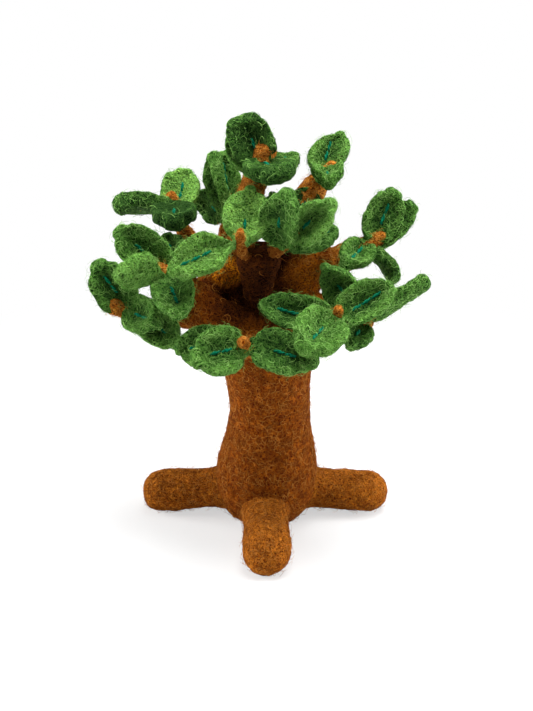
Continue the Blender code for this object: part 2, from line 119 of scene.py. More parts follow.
# %% Leaves: one row says all that is known of a leaf
# Name, seat, direction, where the upper face looks, length and width shares, fold, curl
# Outline, where it stands out: share of the width left at the neck and at the tip, plumpness
# Tone and bulk, where they differ: darker, partly darker wool and partly painted shade (below 0
# lighter, with painted light), wider, thicker, longer, tip swept aside
LEAVES = {
    "high_left": (
        ("front", 0.9, -88, 15, 0, 90, 1.0, 1.0, 8, -25, (0.5, 0.5, 2.6), (0.9, 1.0, 1.25)),
        ("up", 1.4, 82, 38, -90, 50, 0.98, 0.92, 10, 0, (0.45, 0.45, 2.4), (-1.0,)),
        ("left", 0.9, 178, 12, 90, 60, 1.05, 0.9, 8, -20, (0.45, 0.45, 2.6), (0.6, 1.2, 1.3, 1.05)),
    ),
    "mid_left": (
        ("down", 1.0, -72, -28, -90, 55, 0.98, 0.95, 12, 0, (), ()),
        ("left", 1.2, -138, 14, 178, 24, 0.98, 0.95, 10, 0, (0.14, 0.55, 3.2), (-0.4, 0.95, 1.3, 1.1)),
        ("up", 1.4, 172, 40, -90, 30, 1.12, 0.9, 12, 0, (0.5, 0.42, 3.0), (0.15, 1.08, 1.0, 1.04)),
        ("right", 1.4, 50, 12, -90, 60, 0.9, 0.85, 14, 0, (), (0.5,)),
        ("back", 2.2, 105, 32, -90, 40, 0.9, 0.75, 10, 0, (), (0.6,)),
    ),
    "far_left": (
        ("right", 1.2, -48, 3, -110, 40, 1.0, 0.95, 16, 0, (), ()),
        ("up", 1.4, 178, 60, -90, 20, 1.05, 1.0, 18, 0, (0.42, 0.48, 2.8), (0.4, 1.05, 1.1)),
        ("back", 2.0, 145, 32, -90, 40, 1.05, 0.95, 8, 0, (), (0.5,)),
        ("down", 2.2, -38, -20, -90, 35, 1.05, 0.85, 10, 0, (), ()),
    ),
    "low_front": (
        ("right", 1.2, -10, -9, -100, 45, 1.22, 1.05, 16, 0, (0.4, 0.4, 2.3), (0.4,)),
        ("left", 1.2, -160, -7, -80, 40, 0.95, 1.1, 12, 0, (0.45, 0.45, 2.6), ()),
        ("back", 2.2, 170, -5, -90, 30, 1.25, 1.0, 8, 0, (), (0.35, 1.0, 0.92)),
    ),
    "inner_left": (
        ("left", 1.3, -155, -12, -85, 50, 1.38, 1.0, 18, 0, (0.1, 0.36, 2.4), (-0.45, 1.0, 1.15, 0.93)),
        ("right", 2.1, 78, 42, -90, 40, 1.1, 0.92, 12, 0, (), (-1.0, 1.16, 1.2)),
    ),
    "inner_right": (
        ("right", 1.1, -6, 44, -90, 20, 1.05, 1.0, 35, 0, (0.45, 0.5, 2.6), (-0.2, 1.06, 1.2)),
        ("up", 2.2, -92, 72, -120, 10, 1.12, 0.8, 14, -10, (), (0.35, 1.25, 1.1)),
        ("back", 2.2, 20, 8, -90, 60, 1.05, 0.7, 10, 0, (), (0.6, 1.1)),
        ("far", 2.4, 100, 45, -90, 40, 1.0, 0.7, 10, 0, (), (0.5, 1.0, 1.0, 1.02)),
    ),
    "front_right": (
        ("left", 1.1, -124, -7, -90, 45, 1.05, 1.0, 14, 0, (0.45, 0.45, 2.6), (-0.1, 1.2, 1.15)),
        ("right", 1.3, 20, 22, -100, 40, 1.15, 1.0, 22, 0, (0.45, 0.4, 2.3), ()),
        ("back", 1.6, -175, 17, -90, 35, 1.3, 0.85, 14, 0, (), (0.35, 1.0, 0.94)),
    ),
    "low_right": (
        ("right", 1.0, 3, 34, 90, 55, 1.22, 0.82, 6, 0, (0.5, 0.45, 2.4), (0.2, 1.0, 0.98)),
        ("left", 1.5, -178, 56, -98, 12, 1.25, 0.9, 12, 0, (0.5, 0.26, 1.9), (0.25, 1.02, 0.95, 1.1)),
        ("down", 1.7, -114, -8, -90, 55, 0.74, 0.7, 10, 0, (), (0.4,)),
    ),
    "high_right": (
        ("up", 1.2, 35, 60, -80, 25, 1.05, 0.9, 12, 0, (0.45, 0.46, 2.5), (0.25,)),
        ("left", 1.2, -130, -15, -90, 52, 0.8, 0.9, 12, 0, (0.55, 0.45, 2.4), (0.2, 0.88)),
        ("down", 1.6, -12, -40, 28, 42, 0.85, 0.8, 8, 0, (), (0.45,)),
        ("back", 1.8, 30, 30, -80, 40, 1.2, 0.9, 10, 0, (0.45, 0.46, 2.4), (0.4, 0.92)),
    ),
    "top_right": (
        ("front", 0.9, -88, 4, 0, 90, 0.8, 0.95, 42, 6, (0.55, 0.5, 2.6), ()),
        ("up", 1.4, 70, 48, -100, 40, 0.95, 0.95, 14, 0, (0.5, 0.3, 2.0), (0.05, 0.95, 1.0, 1.0, -0.45)),
        ("down", 2.4, -130, -38, 0, 60, 0.75, 0.75, 10, 0, (), (0.75,)),
    ),
    "top_mid": (
        ("front", 1.2, -66, 8, 0, 90, 0.8, 1.12, 6, -10, (0.6, 0.66, 3.0), (0.75, 1.05, 1.25)),
        ("left", 1.2, 150, 72, -90, 10, 0.91, 1.08, 14, 0, (0.68, 0.8, 4.2), (0.75, 0.98, 1.1, 0.98, 0.16)),
        ("back", 2.0, 125, 42, -90, 50, 0.95, 0.95, 10, 0, (), (0.4,)),
        ("right", 1.6, 35, 4, 0, 90, 0.85, 0.9, 8, 0, (), (0.35,)),
    ),
    "back_left": (
        ("up", 1.2, 160, 65, -150, 10, 1.2, 0.8, 30, -15, (), (0.15, 0.74, 1.2)),
        ("back", 1.6, 100, 54, -90, 40, 1.28, 0.8, 14, 0, (), ()),
        ("left", 1.4, 145, 25, -110, -10, 0.85, 0.8, 12, 0, (), (0.6,)),
    ),
}
print("branches:", len(TWIGS), "leaves:", sum(len(whorl) for whorl in LEAVES.values()))


# %% Directions and places
def heading(azimuth, elevation):
    turn, rise = math.radians(azimuth), math.radians(elevation)
    return Vector((math.cos(rise) * math.cos(turn), math.cos(rise) * math.sin(turn), math.sin(rise)))


def crown_point(shares):
    across, deep, high = shares
    return Vector((across * CROWN_SPREAD, deep * CROWN_SPREAD, FORK_HEIGHT + high * CROWN_RISE))


def knuckle(limb):
    return crown_point(LIMBS[limb][0]), KNUCKLE_RADIUS * LIMBS[limb][2]


def twig_line(twig):
    """Pivot, start direction, bow point, end and ball radius of a branch."""
    limb, azimuth, elevation, end, ball_share, _ = TWIGS[twig]
    centre, limb_radius = knuckle(limb)
    ball = BALL_RADIUS * ball_share
    socket = ball + SEAM_GAP
    lean = socket * math.cos(math.radians(SOCKET_RIM_DEG))
    sink = socket * math.sin(math.radians(SOCKET_RIM_DEG))
    direction = heading(azimuth, elevation)
    pivot = centre + direction * (lean + math.sqrt(limb_radius**2 - sink**2))
    end = crown_point(end)
    return pivot, direction, pivot + direction * ((end - pivot).length * TWIG_BOW), end, ball


def along_twig(twig, share):
    pivot, _, bow, end, _ = twig_line(twig)
    return pivot * (1 - share) ** 2 + bow * (2 * share * (1 - share)) + end * share**2


def leaf_place(twig, leaf):
    """World matrix of a leaf: X runs to its tip and Z is where its stitched face looks."""
    pivot, _, _, end, _ = twig_line(twig)
    seat = along_twig(twig, 1 - NUB_LENGTH * leaf[1] / (end - pivot).length)
    length = heading(leaf[2], leaf[3])
    look = heading(leaf[4], leaf[5])
    face = (look - length * look.dot(length)).normalized()
    turn = Matrix((length, face.cross(length), face)).transposed().to_4x4()
    return Matrix.Translation(seat) @ turn


print("top branch starts at", [round(x / MM, 1) for x in twig_line("top_mid")[0]], "mm")

# %% [markdown]
# ## Wool as a mesh
# Felt has no hard edge anywhere: a piece is a soft lump that grew in the hand. Three ways to make
# one come to mind. A cloth simulation with pressure gives the even swell of a filled cushion, and
# these pads aren't filled: they are wool all through, dented and pinched by the needle. Sculpting
# can't be repeated from a script. So each piece is lofted from rings that are drawn for it, and
# two sizes of lumps push its points along their normals, as a needle leaves them.


# %% Loft a closed skin from rings
def loft(name, rings):
    """A closed mesh through rings of equal count, each a list of points."""
    rings = np.array(rings, float)
    count, around = rings.shape[:2]
    points = rings.reshape(-1, 3).tolist()
    faces = []
    for ring in range(count - 1):
        for k in range(around):
            a, b = ring * around + k, ring * around + (k + 1) % around
            faces.append((a, b, b + around, a + around))
    faces.append(tuple(range(around))[::-1])
    faces.append(tuple(range((count - 1) * around, count * around)))
    mesh = bpy.data.meshes.new(name)
    mesh.from_pydata(points, [], faces)
    mesh.update()
    return mesh


def tube_rings(path, radii, around):
    """Rings square to a path, carried along it without twist."""
    path = [Vector(p) for p in path]
    side = None
    rings = []
    for k, (place, radius) in enumerate(zip(path, radii)):
        ahead = (path[min(k + 1, len(path) - 1)] - path[max(k - 1, 0)]).normalized()
        if side is None:
            side = ahead.orthogonal()
        side = (side - ahead * side.dot(ahead)).normalized()
        other = ahead.cross(side)
        turns = [math.tau * i / around for i in range(around)]
        rings.append([place + (side * math.cos(t) + other * math.sin(t)) * radius for t in turns])
    return rings


# %% Lumps that a felting needle leaves
def add_lumps(mesh, sizes, seed, swell=0.0):
    """Moves points along their normals. Each of sizes is a lump's width and its height."""
    offset = Vector((seed * 0.37, seed * 0.71, seed * 0.13))
    normals = [v.normal.copy() for v in mesh.vertices]
    for vertex, normal in zip(mesh.vertices, normals):
        rise = swell
        for width, height in sizes:
            rise += height * noise.noise(vertex.co / width + offset)
        vertex.co += normal * rise
    mesh.update()


def rest_on_ground(mesh):
    for vertex in mesh.vertices:
        vertex.co.z = max(vertex.co.z, 0.0)
    mesh.update()


# %% Pieces of the scene
PIECES = {}


def placed(name, data):
    """A new object that holds a mesh, a lamp or a camera."""
    made = bpy.data.objects.new(name, data)
    bpy.context.scene.collection.objects.link(made)
    return made


def add_piece(name, mesh, material):
    mesh.materials.clear()
    mesh.materials.append(material)
    mesh.shade_smooth()
    piece = placed(name, mesh)
    PIECES[name] = piece
    return piece


# %% [markdown]
# ## Felt as a material
# Close up, the surface is a net of pale curved fibres over dark pores. A weave or a Voronoi net
# has straight edges, which look like cells. The line along which a smooth noise has its middle
# value is long, thin and curly, just like a wool fibre, so a few such lines from noises of
# different sizes are laid over each other. They lighten the colour and lift the bump. A broad
# noise changes the tone from patch to patch, as hand-carded wool does, and a constant sheen gives
# the pale halo of the loose ends.


# %% Shader maths as Python
class Wire:
    """A socket in a material's nodes. Arithmetic on it adds Math nodes."""

    def __init__(self, tree, socket):
        self.tree = tree
        self.socket = socket

    def node(self, kind, inputs, output=0, **settings):
        """Adds a node: its settings first, then the values or links of its sockets."""
        made = self.tree.nodes.new("ShaderNode" + kind)
        for key, value in settings.items():
            if key == "stops":
                set_stops(made.color_ramp, value)
            else:
                setattr(made, key, value)
        for key, value in inputs.items():
            if isinstance(value, Wire):
                self.tree.links.new(value.socket, made.inputs[key])
            else:
                made.inputs[key].default_value = value
        return Wire(self.tree, made.outputs[output])

    def math(self, operation, first, second):
        return self.node("Math", {0: first, 1: second}, operation=operation)

    def __abs__(self):
        return self.math("ABSOLUTE", self, 0.0)


for sign, operation in {"add": "ADD", "sub": "SUBTRACT", "mul": "MULTIPLY"}.items():
    setattr(Wire, f"__{sign}__", lambda wire, other, kind=operation: wire.math(kind, wire, other))
    setattr(Wire, f"__r{sign}__", lambda wire, other, kind=operation: wire.math(kind, other, wire))


def set_stops(ramp, stops):
    while len(ramp.elements) < len(stops):
        ramp.elements.new(1.0)
    for element, (position, colour) in zip(ramp.elements, stops):
        element.position = position
        element.color = (*colour, 1.0)


def greater(first, second):
    return first.math("MAXIMUM", first, second)


def ramp_up(value, low, high):
    """0 below low, 1 above high, smooth between."""
    span = {"Value": value, "From Min": low, "From Max": high}
    return value.node("MapRange", span, interpolation_type="SMOOTHSTEP")


def mix_colour(share, first, second):
    first, second = [(*c, 1.0) if isinstance(c, tuple) else c for c in (first, second)]
    return share.node("Mix", {0: share, 6: first, 7: second}, 2, data_type="RGBA")


# %% A blank material and the place on its surface
def new_material(name, roughness, sheen, sheen_tint):
    """A material, its Principled node, and the wire of the place in metres."""
    material = bpy.data.materials.new(name)
    material.use_nodes = True
    tree = material.node_tree
    shader = tree.nodes["Principled BSDF"]
    values = {
        "Roughness": roughness,
        "Specular IOR Level": 0.05,
        "Sheen Weight": sheen,
        "Sheen Roughness": 0.3,
        "Sheen Tint": (*sheen_tint, 1.0),
    }
    for socket, value in values.items():
        shader.inputs[socket].default_value = value
    place = Wire(tree, tree.nodes.new("ShaderNodeTexCoord").outputs["Object"])
    return material, shader, place


def cloud(place, size, shift=0.0, detail=2.0):
    """Smooth noise whose patches are about size metres across."""
    moved = place.node("VectorMath", {0: place, 1: (shift, -shift, shift)}, operation="ADD")
    return place.node("TexNoise", {"Vector": moved, "Scale": 1 / size, "Detail": detail})


def connect(shader, socket, wire):
    wire.tree.links.new(wire.socket, shader.inputs[socket])


# %% The net of fibres
def fibre_net(place, sizes, thickness):
    """Curly lines where a noise has its middle value, the brightest of several nets."""
    net = None
    for k, size in enumerate(sizes):
        field = cloud(place, size * MM, shift=0.013 * (k + 1), detail=1.0)
        line = 1 - ramp_up(abs(field - 0.5), 0.0, thickness / size)
        net = line if net is None else greater(net, line)
    return net


# %% Felt
# Widths of the nets in millimetres, thickness of their lines, depth of the pores in metres
NET_SIZES = (1.1, 1.5, 2.1)
NET_THICKNESS = 0.1
PORE_DEPTH = 0.0006


def felt(name, deep, body, light, patch, painted, bright, sheen=0.3):
    """Wool felt. Its colours: deep in the pores, body between them, light on the fibres, patch in broad
    patches, painted mostly for painted shade and bright mostly for painted light, as the skin's paint says."""
    material, shader, place = new_material(name, 0.92, sheen, light)
    fine = fibre_net(place, NET_SIZES, NET_THICKNESS)
    grain = cloud(place, 0.6 * MM, shift=0.7)
    broad = ramp_up(cloud(place, 7.0 * MM, shift=0.4), 0.35, 0.68)
    strength = ramp_up(cloud(place, 1.8 * MM, shift=0.9), 0.34, 0.68)
    # The skin's paint: dark is mostly a share of painted shade, lit mostly a share of painted light
    dark = place.node("Attribute", {}, "Fac", attribute_name="dark")
    lit = place.node("Attribute", {}, "Fac", attribute_name="lit")
    ground = mix_colour(broad * 0.6, body, patch)
    ground = mix_colour(lit, ground, bright)
    ground = mix_colour(ramp_up(grain, 0.38, 0.58), deep, ground)
    ground = mix_colour(dark, ground, painted)
    # Painted shade also hides most of the pale strands
    strands = fine * (0.25 + 0.65 * strength) * (1 - dark * 0.9)
    height = fine * 0.75 + grain * 0.55
    normal = place.node("Bump", {"Strength": 0.9, "Distance": PORE_DEPTH, "Height": height})
    connect(shader, "Base Color", mix_colour(strands, ground, light))
    connect(shader, "Roughness", 0.98 - fine * 0.14)
    connect(shader, "Normal", normal)
    return material


def paint(mesh, **layers):
    """Stores shares for the points, by which a felt takes on its painted colour, mostly painted shade, or
    its bright colour, mostly painted light.
    """
    for name, shares in layers.items():
        layer = mesh.attributes.new(name, "FLOAT", "POINT")
        layer.data.foreach_set("value", [min(1.0, max(0.0, float(share))) for share in shares])


# %% The wools of this tree
# Its painted colour is the near-black painted shade of the bowl, bright the orange painted light on a web
TRUNK_FELT = felt(
    "brown_trunk_felt",
    deep=(0.046, 0.007, 0.001),
    body=(0.136, 0.022, 0.001),
    light=(0.45, 0.118, 0.006),
    patch=(0.165, 0.031, 0.001),
    painted=(0.006, 0.001, 0.001),
    bright=(0.98, 0.33, 0.008),
    sheen=0.35,
)
# Its bright colour is the painted light on the tops of the roots
ROOT_FELT = felt(
    "red_brown_root_felt",
    deep=(0.05, 0.008, 0.001),
    body=(0.29, 0.062, 0.002),
    light=(0.68, 0.225, 0.02),
    patch=(0.35, 0.078, 0.004),
    painted=(0.08, 0.012, 0.001),
    bright=(0.62, 0.2, 0.024),
    sheen=0.8,
)
# Its painted colour is the dark brown of lapped wool, deepened as painted shade on shaded stalks
TWIG_FELT = felt(
    "orange_twig_felt",
    deep=(0.075, 0.012, 0.001),
    body=(0.38, 0.092, 0.004),
    light=(0.82, 0.32, 0.045),
    patch=(0.27, 0.062, 0.003),
    painted=(0.07, 0.013, 0.001),
    bright=(0.62, 0.18, 0.012),
)
# Its painted colour is the painted shade of hollows and undersides, bright the painted highlights of rims
# and lighter leaves
LEAF_FELT = felt(
    "green_leaf_felt",
    deep=(0.002, 0.012, 0.001),
    body=(0.011, 0.062, 0.007),
    light=(0.215, 0.49, 0.09),
    patch=(0.072, 0.21, 0.02),
    painted=(0.003, 0.018, 0.003),
    bright=(0.31, 0.61, 0.105),
)
print("felts:", [m.name for m in (TRUNK_FELT, ROOT_FELT, TWIG_FELT, LEAF_FELT)])

# %% [markdown]
# ## Trunk
# On the real tree the wool of the trunk runs on into the limbs with no seam, and between the
# limbs it forms a bowl. Separate tubes that cross would show sharp lines there. A voxel remesh
# melts crossing forms into one skin, and smoothing then rounds every inner corner, so the trunk,
# its six limbs and the webs between them are first made as rough forms and melted together.

# %% Sizes of the trunk's rough forms
# Height and radius of the trunk. Webs: two limbs, where along them, radius
TRUNK_OUTLINE = (
    (0.0, FOOT_RADIUS * 0.66),
    (0.03, FOOT_RADIUS * 0.84),
    (0.08, FOOT_RADIUS * 0.96),
    (0.16, FOOT_RADIUS * 1.04),
    (0.27, FOOT_RADIUS * 0.99),
    (0.42, WAIST_RADIUS * 1.08),
    (0.54, WAIST_RADIUS * 1.0),
    (0.64, WAIST_RADIUS * 1.02),
    (0.76, SHOULDER_RADIUS * 0.92),
    (0.88, SHOULDER_RADIUS * 0.97),
    (0.985, SHOULDER_RADIUS * 0.88),
    (1.055, SHOULDER_RADIUS * 0.5),
)
WEBS = (
    ("left", "front", 0.62, 0.0058),
    ("front", "right", 0.62, 0.0058),
    ("left", "back_left", 0.6, 0.0062),
    ("right", "back_right", 0.6, 0.0062),
    ("back_left", "back_right", 0.62, 0.006),
    ("left", "centre", 0.36, 0.0046),
    ("right", "centre", 0.36, 0.0046),
)
TRUNK_SWAY = 1.7 * MM
TRUNK_RINGS = 46
WEB_SAG = 0.0012
LIMB_SLIMNESS = {"right": 0.8, "centre": 0.68, "left": 0.92, "front": 0.95}


# %% Trunk, limbs, webs and collars as rough tubes
def trunk_form():
    heights, radii = zip(*TRUNK_OUTLINE)
    shares = np.linspace(0.0, heights[-1], TRUNK_RINGS)
    sways = [TRUNK_SWAY * math.sin(math.pi * min(share, 1.0)) ** 2 for share in shares]
    path = [(sway, 0.0, FORK_HEIGHT * share) for sway, share in zip(sways, shares)]
    return loft("trunk_form", tube_rings(path, np.interp(shares, heights, radii), 40))


def add_dome(path, radii, end, ahead, radius, angles, reach=1.0, swell=1.0, roundness=1.0):
    """Closes a tube's path and radii with a round end, one ring for each angle."""
    for degrees in angles:
        path.append(end + ahead * (radius * reach * math.sin(math.radians(degrees))))
        radii.append(radius * math.cos(math.radians(degrees)) ** roundness * swell)


def limb_form(limb):
    """A tapered tube from inside the trunk to the limb's round end."""
    centre, radius = knuckle(limb)
    radius *= LIMB_SLIMNESS.get(limb, 1.0)
    start = crown_point(LIMB_START)
    root = LIMB_ROOT_RADIUS * LIMBS[limb][1] * LIMB_SLIMNESS.get(limb, 1.0)
    ahead = (centre - start).normalized()
    path = [start.lerp(centre, share) for share in (0.0, 0.35, 0.7)]
    radii = [root, root * 0.65 + radius * 0.35, root * 0.3 + radius * 0.7]
    add_dome(path, radii, centre, ahead, radius, (0, 25, 50, 72, 86))
    return loft("limb_form", tube_rings(path, radii, 24))


def bar_form(start, end, thick, thin, sag=0.0, angles=(), around=20):
    """A tube of wool that tapers, sags in its middle and may end in a dome."""
    path = [start.lerp(end, step / 6) for step in range(7)]
    radii = [thick + (thin - thick) * step / 6 for step in range(7)]
    for step, place in enumerate(path):
        place.z -= sag * math.sin(math.pi * step / 6)
    add_dome(path, radii, end, (end - start).normalized(), thin, angles)
    return loft("bar_form", tube_rings(path, radii, around))


def web_form(first, second, share, radius):
    """A low bridge of wool between two limbs."""
    ends = [crown_point(LIMB_START).lerp(knuckle(limb)[0], share) for limb in (first, second)]
    return bar_form(*ends, radius, radius, sag=WEB_SAG, around=16)


def collar_form(twig):
    """The limb drawn out to where the branch begins, so that the two meet without a step."""
    pivot, direction, _, _, ball = twig_line(twig)
    centre, radius = knuckle(TWIGS[twig][0])
    path = [centre.lerp(pivot, share) for share in (0.0, 0.4, 0.7, 1.0)]
    path.append(pivot + direction * (ball * 0.35))
    radii = [radius * 0.8, radius * 0.4 + ball * 0.75, ball * 1.35, ball * 1.25, ball * 0.95]
    return loft("collar_form", tube_rings(path, radii, 20))


# %% Arms of wool in the bowl: start and end in the crown, radius at each
ARMS = {
    "ridge": ((-0.08, -0.19, 0.0), (-0.47, -0.14, 0.25), 0.0048, 0.0034),
    "right_wall": ((0.06, 0.02, 0.06), (0.4, 0.09, 0.4), 0.008, 0.0056),
    "left_web": ((-0.08, 0.04, 0.04), (-0.26, 0.12, 0.34), 0.007, 0.006),
    "right_fork": ((-0.05, -0.1, 0.22), (0.04, -0.18, 0.54), 0.0038, 0.0034),
    "left_fork": ((-0.08, -0.11, 0.26), (-0.13, -0.22, 0.54), 0.0034, 0.003),
    "left_wall": ((-0.44, 0.0, 0.14), (-0.25, 0.14, 0.34), 0.006, 0.0064),
    "back_wall": ((-0.15, 0.15, 0.4), (0.14, 0.15, 0.4), 0.0056, 0.0056),
}


def arm_form(start, end, thick, thin):
    return bar_form(crown_point(start), crown_point(end), thick, thin, angles=(35, 62, 82))


# %% Melt the forms into one skin
def join_meshes(name, meshes):
    points, faces = [], []
    for mesh in meshes:
        first = len(points)
        points += [tuple(v.co) for v in mesh.vertices]
        faces += [tuple(first + i for i in polygon.vertices) for polygon in mesh.polygons]
    joined = bpy.data.meshes.new(name)
    joined.from_pydata(points, [], faces)
    joined.update()
    return joined


def melted(mesh, voxel, passes):
    """The mesh after a voxel remesh and a few passes of smoothing."""
    source = placed(mesh.name, mesh)
    remesh = source.modifiers.new("melt", "REMESH")
    remesh.mode = "VOXEL"
    remesh.voxel_size = voxel
    soften = source.modifiers.new("soften", "SMOOTH")
    soften.factor = 0.5
    soften.iterations = passes
    depsgraph = bpy.context.evaluated_depsgraph_get()
    skin = bpy.data.meshes.new_from_object(source.evaluated_get(depsgraph))
    bpy.data.objects.remove(source)
    return skin


forms = [trunk_form()] + [limb_form(limb) for limb in LIMBS] + [web_form(*web) for web in WEBS]
forms += [collar_form(twig) for twig in TWIGS] + [arm_form(*arm) for arm in ARMS.values()]
VOXEL = 0.8 * MM
SMOOTHING_PASSES = 6
trunk_mesh = melted(join_meshes("trunk_skin", forms), VOXEL, SMOOTHING_PASSES)
print("rough forms:", len(forms), "melted into", len(trunk_mesh.vertices), "points")

# %% [markdown]
# ## Bowl and centre limb
# Between the limbs the wool is pushed down in two hollows. The centre limb was wound from thin
# roving, so it has rings, which have to catch the light: the points near it move in and out. Every
# point also keeps two shares of paint: painted shade darkens the bowl, and painted light turns a
# web bright orange.

# %% Hollows and lumps
# Place in the crown, push in metres and reach
BOWL_DENTS = (
    ((-0.3, 0.03, 0.2), (0.0, 0.001, -0.006), 9 * MM),
    ((0.1, -0.06, 0.1), (0.0, 0.0, -0.004), 8 * MM),
)
TRUNK_LUMPS = ((9 * MM, 0.5 * MM), (3.2 * MM, 0.28 * MM))


def dent(mesh, place, push, radius):
    """Presses the points near a place along push, most at its middle."""
    for vertex in mesh.vertices:
        near = 1 - ((vertex.co - place).length / radius) ** 2
        if near > 0:
            vertex.co += push * near**2
    mesh.update()


for place, push, radius in BOWL_DENTS:
    dent(trunk_mesh, crown_point(place), Vector(push), radius)
add_lumps(trunk_mesh, TRUNK_LUMPS, seed=3, swell=0.25 * MM)

# %% Rings of the centre limb, painted shade and painted light
COLUMN = crown_point((-0.05, -0.09, 0.18))
COLUMN_REACH = 9 * MM
RING_PITCH = 2.6 * MM
RING_HEIGHT = 0.75 * MM
# Place in the crown and reach of spots of painted shade and light, and for the light its strength
PAINTED_SHADE_SPOTS = (
    ((-0.08, -0.08, 0.24), 18 * MM),
    ((-0.03, -0.12, 0.44), 19 * MM),
    ((0.04, 0.08, 0.4), 15 * MM),
    ((-0.28, -0.04, 0.18), 7 * MM),
)
LIT_SPOTS = (
    ((-0.26, 0.0, 0.36), 6.5 * MM, 1.7),
    ((0.3, 0.04, 0.32), 10 * MM, 0.6),
    ((-0.1, -0.24, -0.02), 8 * MM, 0.3),
)


def near_spot(place, centre, radius):
    """1 at the centre of a painted spot, of shade and light alike, 0 at its rim."""
    return max(0.0, 1 - ((place - crown_point(centre)).length / radius) ** 2)


dark, lit = [], []
for vertex in trunk_mesh.vertices:
    from_column = (vertex.co - COLUMN).length / COLUMN_REACH
    if from_column < 1:
        ring = math.sin(math.tau * vertex.co.z / RING_PITCH) * (1 - from_column**2)
        vertex.co += vertex.normal * (RING_HEIGHT * ring)
    # Painted light on the webs, and painted shade in the bowl and round the centre limb, less where lit
    lit.append(max(share * near_spot(vertex.co, centre, radius) for centre, radius, share in LIT_SPOTS))
    dark.append(max(near_spot(vertex.co, *spot) for spot in PAINTED_SHADE_SPOTS) ** 0.4 - lit[-1])
paint(trunk_mesh, dark=dark, lit=lit)
rest_on_ground(trunk_mesh)
print("points in dark wool:", sum(share > 0.5 for share in dark))

# %% Trunk skin
trunk = add_piece("trunk_skin", trunk_mesh, TRUNK_FELT)
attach(trunk, BASE)
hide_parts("trunk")
print("trunk skin:", len(trunk_mesh.polygons), "faces")

# %% [markdown]
# ## Roots
# Each root is a stub of wool rolled between the hands and felted on, so it is blunt, a little
# thicker near its end, and dented all round, with a crease where it meets the trunk. It stays a
# piece of its own that starts inside the trunk: the two skins cross and leave that crease. The
# front root is fuller than its solid, and the hidden back one is taken to be much the same. On top,
# a root is paler than on its sides, with painted light.

# %% Root skins
ROOTS = {"front": -89, "right": 0, "back": 88, "left": 180}
ROOT_SWELL = {"front": 1.09, "back": 1.05}
ROOT_LUMPS = ((8 * MM, 0.5 * MM), (2.8 * MM, 0.25 * MM))
# Painted light on a root, as a share of how much a point faces up
PAINTED_TOP_LIGHT = 0.55


def root_mesh(name, azimuth, swell):
    outward = heading(azimuth, 0)
    start = outward * (FOOT_RADIUS * 0.45)
    start.z = ROOT_BASE_RADIUS * 1.12
    end = outward * (ROOT_REACH - 0.8 * MM)
    end.z = ROOT_TIP_RADIUS - 0.5 * MM
    slope = (end - start).normalized()
    path, radii = [], []
    for share in np.linspace(0.0, 0.97, 22):
        path.append(start.lerp(end, share))
        waist = 1 - 0.1 * math.sin(math.pi * share) ** 2
        flare = 0.26 * max(0.0, 1 - share / 0.45) ** 2
        radii.append((ROOT_BASE_RADIUS * (1 - share) + ROOT_TIP_RADIUS * share) * (waist + flare) * swell)
    angles = (0, 15, 30, 44, 57, 69, 79, 86)
    add_dome(path, radii, end, slope, ROOT_TIP_RADIUS, angles, swell=swell, roundness=0.85)
    return loft(name, tube_rings(path, radii, 36))


for seed, (side, azimuth) in enumerate(ROOTS.items()):
    mesh = root_mesh("root_skin_" + side, azimuth, ROOT_SWELL.get(side, 1.0))
    add_lumps(mesh, ROOT_LUMPS, seed=11 + seed)
    rest_on_ground(mesh)
    paint(mesh, lit=[PAINTED_TOP_LIGHT * vertex.normal.z for vertex in mesh.vertices])
    root = add_piece("root_skin_" + side, mesh, ROOT_FELT)
    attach(root, BASE)
    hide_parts("root_" + side)
print("root skins:", len(ROOTS))

# %% [markdown]
# ## Branches
# A branch is wool wound thinly round a wire. It has to bend at its root when its joint turns, so
# its skin starts well inside the limb, which doesn't move, and ends with the leaves, which do.
# The skin is attached to neither body and stays where it was made.

# %% Shape of one branch
# Swell, swell of the nub, taper, darkness of the stalk, partly brown wool and partly painted shade, share
# of bright orange
USUAL_TWIG = (1.08, 1.0, 1.3, 0.7, 0.0)
TWIG_LOOKS = {
    "mid_left": (1.08, 1.12),
    "far_left": (1.08, 1.35),
    "low_front": (1.08, 0.82),
    "inner_left": (0.7, 0.8, 1.3, 1.0),
    "inner_right": (0.8, 1.0, 1.3, 1.0),
    "front_right": (1.08, 0.78),
    "high_right": (1.36, 1.0, 3.2, 0.25, 0.3),
    "top_right": (1.32, 1.0, 2.6, 0.15, 0.8),
    "top_mid": (1.15, 1.65, 1.8, 0.35),
}
TWIG_LUMPS = ((5 * MM, 0.55 * MM), (2.4 * MM, 0.5 * MM), (1.1 * MM, 0.22 * MM))
TWIG_AROUND = 24
# The trunk's brown wool laps over this share of a branch
LAP = 0.3


def filled(row, usual):
    """A row of looks in which what is left out is as usual."""
    return row + usual[len(row) :]


